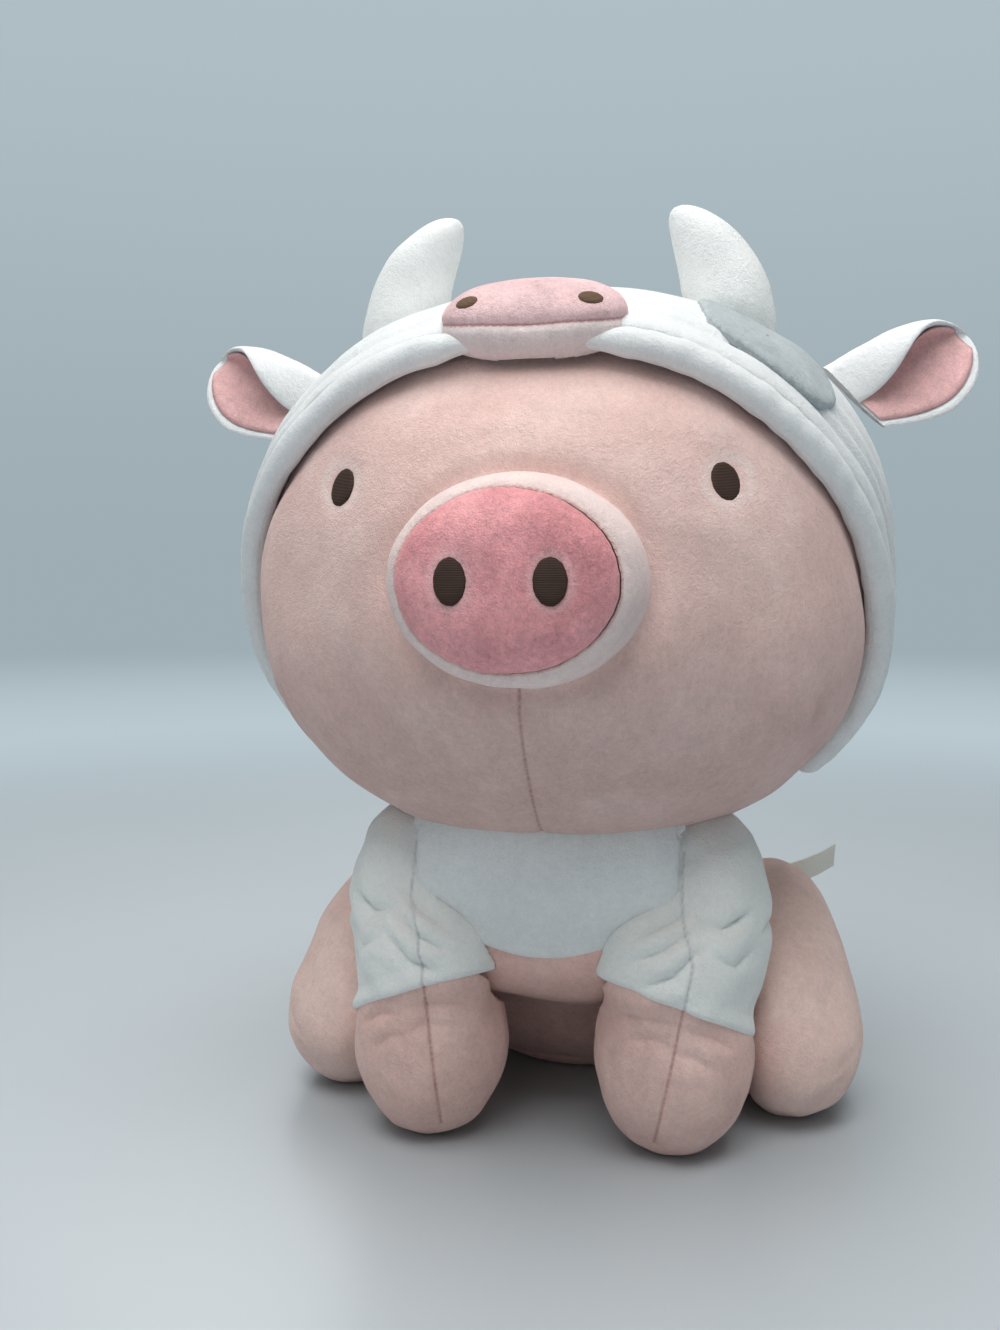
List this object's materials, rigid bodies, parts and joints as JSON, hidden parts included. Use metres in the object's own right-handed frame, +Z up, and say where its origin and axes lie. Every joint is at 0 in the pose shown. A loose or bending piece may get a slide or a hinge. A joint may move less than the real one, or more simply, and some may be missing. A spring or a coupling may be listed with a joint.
{
  "type": "plush pig in a hooded cow costume",
  "caption": "Sitting stuffed plush pig in a hooded cow costume, with an embroidered face, stuffed horns, floppy ears and front legs that swing.",
  "frame": {"origin": "middle of the flat seat, on the floor", "axes": "+Z up; the pig faces -Y; the pig's left side is +X"},
  "size_m": [0.2894, 0.2613, 0.3436],
  "materials": {
    "pink_velour": "short soft pile",
    "rose_velour": "short soft pile",
    "pale_pink_velour": "short soft pile",
    "white_velour": "short soft pile",
    "grey_velour": "short soft pile",
    "dark_brown_thread": "satin stitch",
    "amber_brown_thread": "satin stitch",
    "polyester_stuffing": "loose fibre",
    "satin_label": "satin ribbon"
  },
  "bodies": {
    "torso": {"belly_panel": "pink_velour", "body_stuffing": "polyester_stuffing", "care_label": "satin_label", "hind_leg_left_inner_panel": "pink_velour", "hind_leg_left_outer_panel": "pink_velour", "hind_leg_left_stuffing": "polyester_stuffing", "hind_leg_right_inner_panel": "pink_velour", "hind_leg_right_outer_panel": "pink_velour", "hind_leg_right_stuffing": "polyester_stuffing", "jacket_back_left_panel": "white_velour", "jacket_back_right_panel": "white_velour", "jacket_chest_panel": "white_velour", "rump_left_panel": "pink_velour", "rump_right_panel": "pink_velour", "seat_panel": "pink_velour", "tail": "pink_velour"},
    "head": {"cow_muzzle_pad": "rose_velour", "cow_muzzle_stuffing": "polyester_stuffing", "cow_muzzle_underside": "pale_pink_velour", "cow_nostril_left": "amber_brown_thread", "cow_nostril_right": "amber_brown_thread", "eye_left": "dark_brown_thread", "eye_right": "dark_brown_thread", "face_panel": "pink_velour", "grey_patch": "grey_velour", "head_back_panel": "pink_velour", "head_stuffing": "polyester_stuffing", "hood_hem_roll": "white_velour", "hood_left_panel": "white_velour", "hood_lining": "white_velour", "hood_padding": "polyester_stuffing", "hood_right_panel": "white_velour", "horn_left_skin": "white_velour", "horn_left_stuffing": "polyester_stuffing", "horn_right_skin": "white_velour", "horn_right_stuffing": "polyester_stuffing", "nostril_left": "dark_brown_thread", "nostril_right": "dark_brown_thread", "snout_pad": "rose_velour", "snout_stuffing": "polyester_stuffing", "snout_wall_panel": "pale_pink_velour"},
    "front_leg_left": {"front_leg_left_stuffing": "polyester_stuffing", "hoof_left_inner_panel": "pink_velour", "hoof_left_outer_panel": "pink_velour", "sleeve_left_inner_panel": "white_velour", "sleeve_left_outer_panel": "white_velour"},
    "front_leg_right": {"front_leg_right_stuffing": "polyester_stuffing", "hoof_right_inner_panel": "pink_velour", "hoof_right_outer_panel": "pink_velour", "sleeve_right_inner_panel": "white_velour", "sleeve_right_outer_panel": "white_velour"},
    "ear_left": {"ear_left_outer": "white_velour", "ear_left_lining": "rose_velour"},
    "ear_right": {"ear_right_outer": "white_velour", "ear_right_lining": "rose_velour"}
  },
  "joints": [
    {"name": "head_turn", "type": "hinge", "parent": "torso", "child": "head", "pos_m": [0, -0.052, 0.113], "axis": [0, 0, 1], "range_deg": [-12, 12], "stiffness_Nm_per_rad": 0.25},
    {"name": "front_leg_left_swing", "type": "hinge", "parent": "torso", "child": "front_leg_left", "pos_m": [0.0475, -0.075, 0.0926], "axis": [-1, 0, 0], "range_deg": [0, 70], "stiffness_Nm_per_rad": 0.06},
    {"name": "front_leg_right_swing", "type": "hinge", "parent": "torso", "child": "front_leg_right", "pos_m": [-0.0475, -0.075, 0.0926], "axis": [-1, 0, 0], "range_deg": [0, 70], "stiffness_Nm_per_rad": 0.06},
    {"name": "ear_left_flop", "type": "hinge", "parent": "head", "child": "ear_left", "pos_m": [0.09951, -0.04123, 0.27749], "axis": [0.6727, 0.0088, -0.7398], "range_deg": [-35, 35], "stiffness_Nm_per_rad": 0.004},
    {"name": "ear_right_flop", "type": "hinge", "parent": "head", "child": "ear_right", "pos_m": [-0.09929, -0.04125, 0.27729], "axis": [0.6727, -0.0088, 0.7398], "range_deg": [-35, 35], "stiffness_Nm_per_rad": 0.004}
  ]
}
